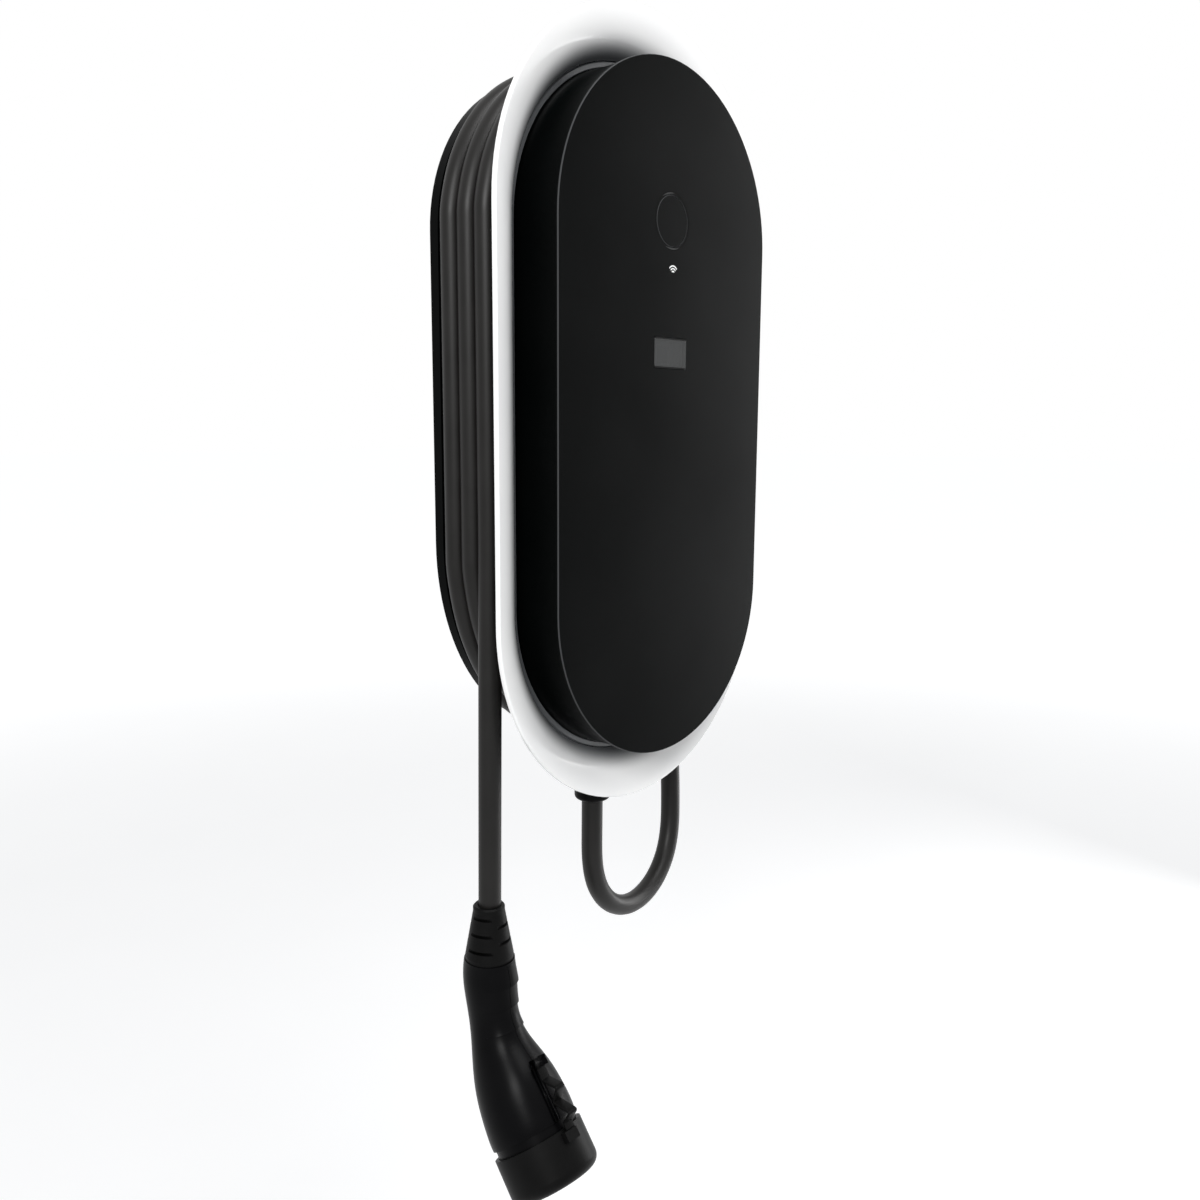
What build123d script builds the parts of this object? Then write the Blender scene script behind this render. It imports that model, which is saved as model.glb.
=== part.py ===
"""Wall charger for electric vehicles: a capsule-shaped case with a flared white collar, the charging
cable wound round its back, and a hand connector hanging on the cable. Millimetres, +Z up, the wall is
the plane y = 0 and the front faces -Y. The origin is the middle of the wall bolt pattern."""

import os
from math import cos, pi, radians, sin, sqrt, tan

from build123d import *

os.makedirs("parts", exist_ok=True)

# Fits
slide_gap = 0.3
seat_gap = 0.3
screw_gap = 0.4

# Front cover, a capsule: half of its width, and half of the straight part of its height
cover_half_width = 115.0
cover_half_length = 126.0
cover_depth = 116.0
cover_wall = 3.0
cover_lip = 1.5
cover_lip_height = 2.6
cover_edge_fillet = 0.8

# Housing behind the cover; depths are measured from the wall
seat_depth = 72.0
seat_thick = 7.0
seat_half_width = 122.0
housing_wall = 3.0
floor_thick = 4.0
flange_thick = 8.0
flange_margin = 12.0
tongue_height = 5.0
tongue_thick = 2.4
seal_thick = 1.5
seal_width = 2.8

# Cable and its winding
cable_diameter = 16.4
lane_pitch = 16.7
lane_count = 3
wind_half_width = 115.0
wind_top = 126.0
wind_low = -86.0
wind_drop = 146.6
wind_slack = 0.35

# Flared collar
collar_thick = 3.0
collar_root_half_width = 118.5
collar_rim_half_width = 146.2
collar_rim_half_length = 132.5
collar_rim_depth = 93.0
collar_rim_fillet = 1.0

# Light ring in the groove between the cover and the collar
guide_thick = 3.6
light_board_thick = 1.2

# Wall bolts and supply entry
bolt_spacing_x = 150.0
bolt_spacing_z = 280.0
bolt_hole = 7.0
bolt_boss = 18.0
bolt_boss_height = 14.0
entry_bore = 32.0
entry_x = 32.0
entry_z = -168.0

# Button, reader mark and display window
button_diameter = 34.4
button_thick = 2.7
button_z = 136.0
button_travel = 1.5
button_stem = 9.0
button_flange = 2.5
window_width = 36.0
window_height = 21.0
window_z = 47.0
window_thick = 2.0
window_ledge = 2.0
reader_z = 104.0

# Cable gland below the housing
gland_x = -15.0
gland_depth = 58.0
gland_thread = 25.0
gland_nut_diameter = 28.0
gland_nut_length = 26.0
gland_nut_round = 3.4
gland_hex = 30.0
gland_hex_height = 6.0
chin_half_width = 46.0
chin_bottom = -252.0
chin_top = -205.0
chin_wall = 4.0

# Hand connector
plug_x = -120.0
boot_top = -341.0
boot_length = 40.0
boot_top_radius = 11.4
boot_low_radius = 17.4
boot_slot = 2.2
boot_slot_depth = 3.0
boot_slot_rows = 5
grip_wall = 3.0
head_tilt = 37.0
rim_depth = 100.0
rim_z = -502.0
head_radius = 31.7
neck_radius = 30.0
neck_length = 30.0
neck_wall = 2.4
core_radius = 21.8
core_length = 24.0
cap_radius = 33.2
cap_wall = 2.6
cap_length = 33.0
cap_round = 8.0
strap_width = 11.0
strap_thick = 2.2

gland_seal_radius = 10.4
seal_squeeze = 0.15
lane_shift = 100.0
sheath_end = 60.0
boot_spigot_length = 8.0
spigot_gap = 0.8
grip_start_half_width = 18.0
plug_floor = 4.0
clamp_height = 8.0
grommet_bore = 18.0
grommet_lip = 2.5
core_flat = 3.2

# Screws
cover_screw_depth = 98.0
cover_screw_angles = (-20, 20)
cover_screw_hole = 4.5
cover_screw_head = 8.4
cover_screw_sink = 1.6
cover_screw_pilot = 3.3
cover_post_width = 14.0
cover_post_thick = 11.0
cover_post_reach = 33.0
board_post = 8.0
small_pilot = 2.5
small_screw = 2.4
small_head = 5.6
small_head_height = 2.0
small_screw_length = 8.0
grip_boss = 6.8
grip_screw_seat = 8.0
grip_boss_places = ((-26.0, 21.5, 17.0), (-26.0, -21.5, 17.0), (-103.1, 19.4, 16.5))

# Boards and modules
board_thick = 1.6
board_hole = 3.4
control_width = 128.0
control_height = 82.0
control_drop = 11.4
reader_width = 58.0
reader_height = 19.0
button_stem_length = 3.6
switch_side = 7.0
spring_foot = 9.5
spring_waist = 7.4
spring_thick = 1.0
power_depth = 18.0
power_width = 120.0
power_height = 112.0
power_z = -92.0
rail_post = 22.0
rail_length = 120.0
rail_thick = 1.0
meter_width = 36.0
meter_height = 88.0
meter_nose = 45.0
meter_shoulder = 84.0
meter_front = 104.0

# Worked out from the sizes above
tongue_half_width = cover_half_width - cover_lip - cover_wall - slide_gap
cover_rear = seat_depth + seal_thick
drum_half_width = wind_half_width - cable_diameter / 2 - wind_slack
drum_drop = wind_drop - cable_diameter / 2 - wind_slack
lane_depths = [flange_thick + 2.6 + cable_diameter / 2 + n * lane_pitch for n in range(lane_count)]
cover_post_radius = cover_half_width - cover_lip - cover_wall - slide_gap - cover_post_thick / 2 - 0.1
rim = Plane(
    origin=(plug_x, -rim_depth, rim_z),
    x_dir=(1, 0, 0),
    z_dir=(0, -sin(radians(head_tilt)), -cos(radians(head_tilt))),
)


strap_plane = Plane(origin=rim.origin, x_dir=rim.z_dir, z_dir=(-1, 0, 0))
lug_start = 2.0
lug_length = 7.0
lug_height = 4.5
power_places = ((0, 0), (-12.6, 0.5), (12.6, 0.5), (-7.4, 11.6), (7.4, 11.6))
signal_places = ((-6.4, -10.8), (6.4, -10.8))
power_bore = 8.6
signal_bore = 5.4
sleeve_wall = 1.0
contact_recess = 3.0
strap_points = (
    (-43.0, 33.4),
    (-36.0, 33.4),
    (-31.0, 40.5),
    (-26.5, 33.6),
    (-19.5, 41.0),
    (-14.5, 33.8),
    (-7.0, 38.5),
    (lug_start - 1.0, cap_radius + lug_height / 2),
)


def at_depth(depth):
    """The plane parallel to the wall at this distance in front of it, looked at from the front."""
    return Plane.XZ.offset(depth)


def capsule(half_width, half_length, mode=Mode.ADD):
    """A straight-sided outline with round ends, upright."""
    SlotOverall(2 * (half_width + half_length), 2 * half_width, rotation=90, mode=mode)


def drum_outline(half_width, drop, mode=Mode.ADD):
    """The outline that the cable is wound on: round at the top, a longer half ellipse at the bottom."""
    with BuildLine() as outline:
        Line((half_width, wind_low), (half_width, wind_top))
        ThreePointArc((half_width, wind_top), (0, wind_top + half_width), (-half_width, wind_top))
        Line((-half_width, wind_top), (-half_width, wind_low))
        EllipticalCenterArc((0, wind_low), half_width, drop, start_angle=180, arc_size=180)
    make_face(outline.edges(), mode=mode)


def cover_screw_point(angle, radius):
    """A point at this radius from the middle of the lower round end, turned from straight down."""
    turn = radians(angle)
    return (radius * sin(turn), -cover_half_length - radius * cos(turn))


def cover_screw_plane(angle, radius):
    """The plane through that point at the screws' depth, facing outwards."""
    turn = radians(angle)
    across, height = cover_screw_point(angle, radius)
    return Plane(origin=(across, -cover_screw_depth, height), z_dir=(sin(turn), 0, -cos(turn)))


def save(piece, name):
    piece.label = name
    export_step(piece, f"parts/{name}.step")


# Rear housing: wall flange, winding drum, front seat, chin for the gland, one moulding
seat_back = seat_depth - seat_thick
chin_front = seat_depth
chin_back = lane_depths[1] + cable_diameter / 2 + seat_gap
with BuildPart() as rear_housing:
    with BuildSketch(at_depth(0)):
        drum_outline(drum_half_width + flange_margin, drum_drop + flange_margin)
    extrude(amount=flange_thick)
    with BuildSketch(at_depth(flange_thick)):
        drum_outline(drum_half_width, drum_drop)
    extrude(amount=seat_back - flange_thick)
    with BuildSketch(at_depth(seat_back)):
        capsule(seat_half_width, cover_half_length)
    extrude(amount=seat_thick)
    with BuildSketch(at_depth(chin_back)):
        with Locations((gland_x, (chin_bottom + chin_top) / 2)):
            RectangleRounded(2 * chin_half_width, chin_top - chin_bottom, 9)
    extrude(amount=chin_front - chin_back)
    with BuildSketch(at_depth(floor_thick)):
        drum_outline(drum_half_width - housing_wall, drum_drop - housing_wall)
    extrude(amount=seat_depth - floor_thick, mode=Mode.SUBTRACT)
    with BuildSketch(at_depth(chin_back + chin_wall)):
        with Locations((gland_x, (chin_bottom + chin_top) / 2)):
            RectangleRounded(
                2 * (chin_half_width - chin_wall), chin_top - chin_bottom - 2 * chin_wall, 6
            )
    extrude(amount=chin_front - chin_back - chin_wall, mode=Mode.SUBTRACT)
    with BuildSketch(at_depth(seat_depth)):
        capsule(tongue_half_width, cover_half_length)
        capsule(tongue_half_width - tongue_thick, cover_half_length, mode=Mode.SUBTRACT)
    extrude(amount=tongue_height)
    with BuildSketch(at_depth(floor_thick)):
        with GridLocations(bolt_spacing_x, bolt_spacing_z, 2, 2):
            Circle(bolt_boss / 2)
    extrude(amount=bolt_boss_height - floor_thick)
    with BuildSketch(at_depth(seat_depth - seat_thick)):
        for angle in cover_screw_angles:
            with Locations(cover_screw_point(angle, cover_post_radius)):
                Rectangle(cover_post_width, cover_post_thick, rotation=angle)
    extrude(amount=cover_post_reach + seat_thick)
    for angle in cover_screw_angles:
        with BuildSketch(cover_screw_plane(angle, cover_post_radius)):
            Circle(cover_screw_pilot / 2)
        extrude(amount=cover_post_thick, both=True, mode=Mode.SUBTRACT)
    with BuildSketch(at_depth(floor_thick)):
        with Locations((0, power_z)):
            with GridLocations(power_width - 14, power_height - 14, 2, 2):
                Circle(board_post / 2)
                Circle(small_pilot / 2, mode=Mode.SUBTRACT)
    extrude(amount=power_depth - floor_thick)
    with BuildSketch(at_depth(floor_thick)):
        with Locations((0, window_z)):
            with GridLocations(rail_length - 16, 1, 2, 1):
                Circle(board_post / 2 + 2)
                Circle(small_pilot / 2, mode=Mode.SUBTRACT)
    extrude(amount=rail_post - rail_thick / 2 - floor_thick)
    with BuildSketch(at_depth(0)):
        with GridLocations(bolt_spacing_x, bolt_spacing_z, 2, 2):
            Circle(bolt_hole / 2)
        with Locations((entry_x, entry_z)):
            Circle(entry_bore / 2)
    extrude(amount=bolt_boss_height, mode=Mode.SUBTRACT)
    with Locations(Plane(origin=(gland_x, -gland_depth, chin_bottom + chin_wall), z_dir=(0, 0, 1))):
        Cylinder(
            gland_thread / 2 + slide_gap / 2, 3 * chin_wall, mode=Mode.SUBTRACT
        )
save(rear_housing.part, "rear_housing")

# Front cover
window_recess = window_thick
control_depth = cover_depth - cover_wall - control_drop
with BuildPart() as front_cover:
    with BuildSketch(at_depth(cover_rear)):
        capsule(cover_half_width - cover_lip, cover_half_length)
    extrude(amount=cover_depth - cover_rear)
    with BuildSketch(at_depth(cover_depth - cover_lip_height)):
        capsule(cover_half_width, cover_half_length)
    extrude(amount=cover_lip_height)
    front_edges = front_cover.faces().sort_by(Axis.Y)[0].edges()
    fillet(front_edges, cover_edge_fillet)
    with BuildSketch(at_depth(cover_rear)):
        capsule(cover_half_width - cover_lip - cover_wall, cover_half_length)
    extrude(amount=cover_depth - cover_rear - cover_wall, mode=Mode.SUBTRACT)
    with BuildSketch(at_depth(cover_depth)):
        with Locations((0, button_z)):
            Circle(button_diameter / 2 + slide_gap)
    extrude(amount=-cover_wall, mode=Mode.SUBTRACT)
    with BuildSketch(at_depth(cover_depth)):
        with Locations((0, window_z)):
            RectangleRounded(window_width + 2 * screw_gap, window_height + 2 * screw_gap, 1.5)
    extrude(amount=-window_recess, mode=Mode.SUBTRACT)
    with BuildSketch(at_depth(cover_depth)):
        with Locations((0, window_z)):
            Rectangle(window_width - 2 * window_ledge, window_height - 2 * window_ledge)
    extrude(amount=-cover_wall, mode=Mode.SUBTRACT)
    for angle in cover_screw_angles:
        with BuildSketch(cover_screw_plane(angle, cover_half_width)):
            Circle(cover_screw_hole / 2)
        extrude(amount=-3 * cover_wall, mode=Mode.SUBTRACT)
        with BuildSketch(cover_screw_plane(angle, cover_half_width - cover_lip - cover_screw_sink)):
            Circle(cover_screw_head / 2)
        extrude(amount=3 * cover_wall, mode=Mode.SUBTRACT)
    with BuildSketch(at_depth(control_depth)):
        with Locations((0, button_z)):
            with GridLocations(control_width - 14, control_height - 14, 2, 2):
                Circle(board_post / 2)
                Circle(small_pilot / 2, mode=Mode.SUBTRACT)
    extrude(amount=cover_depth - cover_wall - control_depth)
save(front_cover.part, "front_cover")

# Seal between the housing and the cover, outside the tongue
with BuildPart() as housing_seal:
    with BuildSketch(at_depth(seat_depth)):
        capsule(cover_half_width - cover_lip - slide_gap, cover_half_length)
        capsule(cover_half_width - cover_lip - slide_gap - seal_width, cover_half_length, mode=Mode.SUBTRACT)
    extrude(amount=seal_thick)
save(housing_seal.part, "housing_seal")

# Ring of lamps and the clear ring that spreads their light in the groove round the cover
guide_inner = cover_half_width - cover_lip + slide_gap
guide_outer = collar_root_half_width - slide_gap
with BuildPart() as light_board:
    with BuildSketch(at_depth(seat_depth)):
        capsule(guide_outer, cover_half_length)
        capsule(guide_inner, cover_half_length, mode=Mode.SUBTRACT)
    extrude(amount=light_board_thick)
save(light_board.part, "light_board")

with BuildPart() as light_guide:
    with BuildSketch(at_depth(seat_depth + light_board_thick)):
        capsule(guide_outer, cover_half_length)
        capsule(guide_inner, cover_half_length, mode=Mode.SUBTRACT)
    extrude(amount=guide_thick)
    front_edges = light_guide.faces().sort_by(Axis.Y)[0].edges()
    chamfer(front_edges, 0.8)
save(light_guide.part, "light_guide")

# Flared collar: how far its front face has opened out, from the root to the rim
flare = ((0.0, 0.0), (0.26, 0.07), (0.55, 0.25), (0.8, 0.53), (0.94, 0.8), (1.0, 1.0))
collar_root_depth = seat_depth + light_board_thick + guide_thick
collar_back_depth = collar_rim_depth - collar_thick
collar_spread = collar_rim_half_width - collar_thick / 2 - collar_root_half_width
collar_growth = collar_rim_half_length - cover_half_length
with BuildPart() as collar_ring:
    for rise, spread in flare:
        with BuildSketch(at_depth(seat_depth + (collar_back_depth - seat_depth) * rise)):
            capsule(
                collar_root_half_width + collar_thick + (collar_spread - collar_thick / 2) * spread,
                cover_half_length + collar_growth * spread,
            )
    loft()
    with BuildSketch(at_depth(collar_back_depth)):
        capsule(collar_rim_half_width, collar_rim_half_length)
    extrude(amount=collar_thick)
    rim_edges = collar_ring.faces().sort_by(Axis.Y)[0].edges()
    fillet(rim_edges, collar_rim_fillet)
    for rise, spread in flare:
        with BuildSketch(at_depth(collar_root_depth + (collar_rim_depth - collar_root_depth) * rise)):
            capsule(
                collar_root_half_width + collar_spread * spread,
                cover_half_length + collar_growth * spread,
            )
    loft(mode=Mode.SUBTRACT)
    with BuildSketch(at_depth(seat_depth)):
        capsule(collar_root_half_width, cover_half_length)
    extrude(amount=collar_root_depth - seat_depth + slide_gap, mode=Mode.SUBTRACT)
save(collar_ring.part, "collar_ring")

# Display window and push button
with BuildPart() as display_window:
    with BuildSketch(at_depth(cover_depth - window_thick)):
        with Locations((0, window_z)):
            RectangleRounded(window_width, window_height, 1.2)
    extrude(amount=window_thick)
save(display_window.part, "display_window")

button_flange_depth = cover_depth - cover_wall - slide_gap
with BuildPart() as button_cap:
    with BuildSketch(at_depth(button_flange_depth)):
        with Locations((0, button_z)):
            Circle(button_diameter / 2)
    extrude(amount=cover_depth - button_flange_depth)
    chamfer(button_cap.faces().sort_by(Axis.Y)[0].edges(), 0.4)
    with BuildSketch(at_depth(button_flange_depth)):
        with Locations((0, button_z)):
            Circle(button_diameter / 2 + button_flange)
    extrude(amount=-button_flange)
    with BuildSketch(at_depth(button_flange_depth - button_flange)):
        with Locations((0, button_z)):
            Circle(button_stem / 2)
    extrude(amount=-button_stem_length)
save(button_cap.part, "button_cap")

stem_end_depth = button_flange_depth - button_flange - button_stem_length
with BuildPart() as button_switch:
    with BuildSketch(at_depth(control_depth)):
        with Locations((0, button_z)):
            Rectangle(switch_side, switch_side)
    extrude(amount=stem_end_depth - button_travel - slide_gap - control_depth)
save(button_switch.part, "button_switch")

spring_length = button_flange_depth - button_flange - control_depth
with BuildPart() as button_spring:
    with BuildSketch(Plane(origin=(0, -control_depth, button_z), x_dir=(1, 0, 0), z_dir=(0, 0, 1))):
        with BuildLine():
            Polyline(
                (spring_foot, 0),
                (spring_foot, -spring_thick),
                (spring_waist, -spring_length + spring_thick),
                (spring_waist, -spring_length),
                (spring_waist - spring_thick, -spring_length),
                (spring_waist - spring_thick, -spring_length + spring_thick),
                (spring_foot - 2 * spring_thick, 0),
                close=True,
            )
        make_face()
    revolve(axis=Axis((0, 0, button_z), (0, 1, 0)))
save(button_spring.part, "button_spring")

# Boards behind the cover
with BuildPart() as control_board:
    with BuildSketch(at_depth(control_depth)):
        with Locations((0, button_z)):
            RectangleRounded(control_width, control_height, 6)
            with GridLocations(control_width - 14, control_height - 14, 2, 2):
                Circle(board_hole / 2, mode=Mode.SUBTRACT)
    extrude(amount=-board_thick)
    with BuildSketch(at_depth(control_depth - board_thick)):
        with Locations((-38, button_z + 12)):
            Rectangle(22, 22)
        with Locations((36, button_z + 8)):
            Rectangle(14, 26)
        with Locations((0, button_z - 28)):
            Rectangle(30, 8)
    extrude(amount=-4)
save(control_board.part, "control_board")

with BuildPart() as reader_board:
    with BuildSketch(at_depth(cover_depth - cover_wall)):
        with Locations((0, reader_z)):
            RectangleRounded(reader_width, reader_height, 2)
    extrude(amount=-1.0)
save(reader_board.part, "reader_board")

# Boards and modules in the housing
with BuildPart() as power_board:
    with BuildSketch(at_depth(power_depth)):
        with Locations((0, power_z)):
            RectangleRounded(power_width, power_height, 4)
            with GridLocations(power_width - 14, power_height - 14, 2, 2):
                Circle(board_hole / 2, mode=Mode.SUBTRACT)
    extrude(amount=board_thick)
save(power_board.part, "power_board")

with BuildPart() as contactor:
    with BuildSketch(at_depth(power_depth + board_thick)):
        with Locations((-32, power_z)):
            RectangleRounded(52, 74, 2)
    extrude(amount=34)
    with BuildSketch(at_depth(power_depth + board_thick + 34)):
        with Locations((-32, power_z)):
            Rectangle(40, 40)
    extrude(amount=6)
    with BuildSketch(at_depth(power_depth + board_thick + 34)):
        with Locations((-32, power_z)):
            with GridLocations(12, 60, 4, 2):
                Circle(3)
    extrude(amount=-5, mode=Mode.SUBTRACT)
save(contactor.part, "contactor")

with BuildPart() as residual_current_sensor:
    with BuildSketch(at_depth(power_depth + board_thick)):
        with Locations((36, power_z + 20)):
            RectangleRounded(44, 44, 6)
            Circle(10, mode=Mode.SUBTRACT)
    extrude(amount=20)
save(residual_current_sensor.part, "residual_current_sensor")

with BuildPart() as supply_terminals:
    with BuildSketch(at_depth(power_depth + board_thick)):
        with Locations((30, power_z - 34)):
            Rectangle(56, 22)
    extrude(amount=24)
    with BuildSketch(at_depth(power_depth + board_thick + 24)):
        with Locations((30, power_z - 34)):
            with GridLocations(11, 1, 5, 1):
                Circle(2.6)
    extrude(amount=-8, mode=Mode.SUBTRACT)
    with BuildSketch(Plane.XY.offset(power_z - 34 - 11)):
        with Locations((30, -(power_depth + board_thick + 10))):
            with GridLocations(11, 1, 5, 1):
                Circle(3)
    extrude(amount=9, mode=Mode.SUBTRACT)
save(supply_terminals.part, "supply_terminals")

rail_depth = rail_post
with BuildPart() as din_rail:
    with BuildSketch(Plane.YZ.offset(-rail_length / 2)):
        with BuildLine():
            FilletPolyline(
                (-rail_depth - 6.5, window_z - 17),
                (-rail_depth - 6.5, window_z - 12.5),
                (-rail_depth, window_z - 12.5),
                (-rail_depth, window_z + 12.5),
                (-rail_depth - 6.5, window_z + 12.5),
                (-rail_depth - 6.5, window_z + 17),
                radius=0.8,
            )
        trace(line_width=rail_thick)
    extrude(amount=rail_length)
    with BuildSketch(at_depth(rail_depth - rail_thick)):
        with Locations((0, window_z)):
            with GridLocations(rail_length - 16, 1, 2, 1):
                Circle(board_hole / 2)
    extrude(amount=2 * rail_thick, mode=Mode.SUBTRACT)
save(din_rail.part, "din_rail")

meter_back = rail_depth + 6.5 + rail_thick / 2
with BuildPart() as energy_meter:
    with BuildSketch(at_depth(meter_back)):
        with Locations((0, window_z)):
            Rectangle(meter_width, meter_height)
    extrude(amount=meter_shoulder - meter_back)
    with BuildSketch(at_depth(meter_shoulder)):
        with Locations((0, window_z)):
            Rectangle(meter_width, meter_nose)
    extrude(amount=meter_front - meter_shoulder)
    with BuildSketch(at_depth(meter_front)):
        with Locations((0, window_z)):
            Rectangle(26, 13)
    extrude(amount=-0.8, mode=Mode.SUBTRACT)
    with BuildSketch(at_depth(meter_shoulder)):
        with Locations((0, window_z)):
            with GridLocations(16, meter_height - 12, 2, 2):
                Circle(3)
    extrude(amount=-8, mode=Mode.SUBTRACT)
save(energy_meter.part, "energy_meter")

# Cable gland, screwed into the chin of the housing
gland_top = Plane(origin=(gland_x, -gland_depth, chin_bottom), z_dir=(0, 0, 1))
gland_collar_length = 4.0
nut_top = -(gland_hex_height + gland_collar_length)
thread_low = nut_top - gland_nut_length * 0.55
with BuildPart() as gland_body:
    with BuildSketch(gland_top):
        Circle(gland_thread / 2)
    extrude(amount=chin_wall + 3)
    with BuildSketch(gland_top):
        RegularPolygon(gland_hex / 2, 6, major_radius=False)
    extrude(amount=-gland_hex_height)
    with BuildSketch(gland_top.offset(-gland_hex_height)):
        Circle(gland_seal_radius + 2.4)
    extrude(amount=thread_low + gland_hex_height)
    with BuildSketch(gland_top.offset(chin_wall + 3)):
        Circle(cable_diameter / 2 + slide_gap)
    extrude(amount=thread_low - chin_wall - 3, mode=Mode.SUBTRACT)
    with BuildSketch(gland_top.offset(-gland_hex_height)):
        Circle(gland_seal_radius)
    extrude(amount=thread_low + gland_hex_height, mode=Mode.SUBTRACT)
save(gland_body.part, "gland_body")

with BuildPart() as gland_seal:
    with BuildSketch(gland_top.offset(-gland_hex_height)):
        Circle(gland_seal_radius)
        Circle(cable_diameter / 2 - seal_squeeze, mode=Mode.SUBTRACT)
    extrude(amount=thread_low + gland_hex_height)
save(gland_seal.part, "gland_seal")

with BuildPart() as gland_nut:
    with BuildSketch(gland_top.offset(nut_top)):
        RegularPolygon(gland_nut_diameter / 2, 6, major_radius=False)
    extrude(amount=-gland_nut_length * 0.6)
    with BuildSketch(gland_top.offset(nut_top - gland_nut_length * 0.6)):
        Circle(gland_nut_diameter / 2)
    extrude(amount=-gland_nut_length * 0.4)
    fillet(gland_nut.faces().sort_by(Axis.Z)[0].edges(), gland_nut_round)
    with BuildSketch(gland_top.offset(nut_top)):
        Circle(gland_seal_radius + 2.4 + slide_gap / 2)
    extrude(amount=thread_low - nut_top - slide_gap, mode=Mode.SUBTRACT)
    with BuildSketch(gland_top.offset(nut_top)):
        Circle(cable_diameter / 2 + slide_gap)
    extrude(amount=-gland_nut_length, mode=Mode.SUBTRACT)
save(gland_nut.part, "gland_nut")

# Cable: the loop below the gland, the winding and the straight drop to the connector
loop_points = [
    (-15.0, -58.0, -250.0),
    (-15.3, -57.9, -301.0),
    (-15.0, -57.5, -352.0),
    (6.2, -56.0, -383.5),
    (41.4, -52.5, -397.7),
    (78.6, -48.0, -389.8),
    (105.0, -43.0, -362.5),
    (113.0, -37.0, -313.0),
    (117.0, -30.0, -258.0),
    (118.5, -22.5, -202.0),
    (117.0, -19.2, -144.0),
    (115.0, -18.8, -86.0),
]
arc_share = 0.45


def turn_radii(points):
    """The arc at each inner point: as large as the two runs beside it allow."""
    radii = []
    for before, here, after in zip(points, points[1:], points[2:]):
        first = Vector(*here) - Vector(*before)
        second = Vector(*after) - Vector(*here)
        half_turn = radians(first.get_angle(second) / 2)
        radii.append(arc_share * min(first.length, second.length) / tan(half_turn))
    return radii


loop_radii = turn_radii(loop_points)
print("loop radii", [round(radius) for radius in loop_radii])
with BuildPart() as cable_loop:
    with BuildLine():
        loop_path = FilletPolyline(*loop_points, radius=loop_radii)
    with BuildSketch(Plane(origin=loop_path @ 0, z_dir=loop_path % 0)):
        Circle(cable_diameter / 2)
    sweep(path=loop_path)
save(cable_loop.part, "cable_loop")
loop_volume = pi * (cable_diameter / 2) ** 2 * loop_path.length
print("loop length", round(loop_path.length, 1), "volume ratio", cable_loop.part.volume / loop_volume)

with BuildPart() as cable_coil:
    with BuildSketch(at_depth(lane_depths[0] - cable_diameter / 2)):
        drum_outline(wind_half_width + cable_diameter / 2, wind_drop + cable_diameter / 2)
        drum_outline(
            wind_half_width - cable_diameter / 2, wind_drop - cable_diameter / 2, mode=Mode.SUBTRACT
        )
    extrude(amount=lane_pitch + cable_diameter)
    with BuildSketch(at_depth(lane_depths[1] + cable_diameter / 2)):
        drum_outline(wind_half_width + cable_diameter / 2, wind_drop + cable_diameter / 2)
        drum_outline(
            wind_half_width - cable_diameter / 2, wind_drop - cable_diameter / 2, mode=Mode.SUBTRACT
        )
        with Locations((-wind_half_width, wind_low)):
            Rectangle(2 * wind_half_width, 2 * wind_drop, align=(Align.CENTER, Align.MAX), mode=Mode.SUBTRACT)
        with Locations((wind_half_width, wind_low - lane_shift)):
            Rectangle(2 * wind_half_width, 2 * wind_drop, align=(Align.CENTER, Align.MAX), mode=Mode.SUBTRACT)
    extrude(amount=lane_pitch)
save(cable_coil.part, "cable_coil")

drop_top = Vector(-wind_half_width, -lane_depths[2], wind_low)
drop_low = Vector(plug_x, -lane_depths[2], boot_top - sheath_end)
with BuildPart() as cable_drop:
    with BuildSketch(Plane(origin=drop_top, z_dir=drop_low - drop_top)):
        Circle(cable_diameter / 2)
    extrude(amount=(drop_low - drop_top).length)
save(cable_drop.part, "cable_drop")

# Bend protector on the connector
boot_axis = Plane(origin=(plug_x, -lane_depths[2], boot_top), z_dir=(0, 0, 1))
boot_spigot = grip_start_half_width - grip_wall - spigot_gap
with BuildPart() as strain_relief:
    with BuildSketch(Plane(origin=boot_axis.origin, x_dir=(1, 0, 0), z_dir=(0, -1, 0))):
        with BuildLine():
            Polyline(
                (0, 0),
                (boot_top_radius - 1, 0),
                (boot_top_radius, -1.2),
                (boot_top_radius, -4),
                (boot_low_radius, -boot_length + 3),
                (boot_low_radius, -boot_length),
                (boot_spigot, -boot_length),
                (boot_spigot, -boot_length - boot_spigot_length),
                (0, -boot_length - boot_spigot_length),
                close=True,
            )
        make_face()
    revolve(axis=Axis(boot_axis.origin, (0, 0, 1)))
    boot_pitch = (boot_length - 11) / boot_slot_rows
    for row in range(boot_slot_rows):
        slot_drop = 7.5 + row * boot_pitch
        surface = boot_top_radius + (boot_low_radius - boot_top_radius) * slot_drop / boot_length
        for side in (0, 180):
            turn = radians(side + 90 * (row % 2) + 20)
            slot_plane = Plane(
                origin=boot_axis.origin - Vector(0, 0, slot_drop),
                x_dir=(cos(turn), sin(turn), 0),
                z_dir=(0, 0, 1),
            )
            with BuildSketch(slot_plane):
                with Locations((surface - boot_slot_depth, 0)):
                    Rectangle(20, 1.55 * surface, align=(Align.MIN, Align.CENTER))
            extrude(amount=boot_slot / 2, both=True, mode=Mode.SUBTRACT)
    with BuildSketch(boot_axis):
        Circle(cable_diameter / 2)
    extrude(amount=-boot_length - boot_spigot_length, mode=Mode.SUBTRACT)
save(strain_relief.part, "strain_relief")

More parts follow.
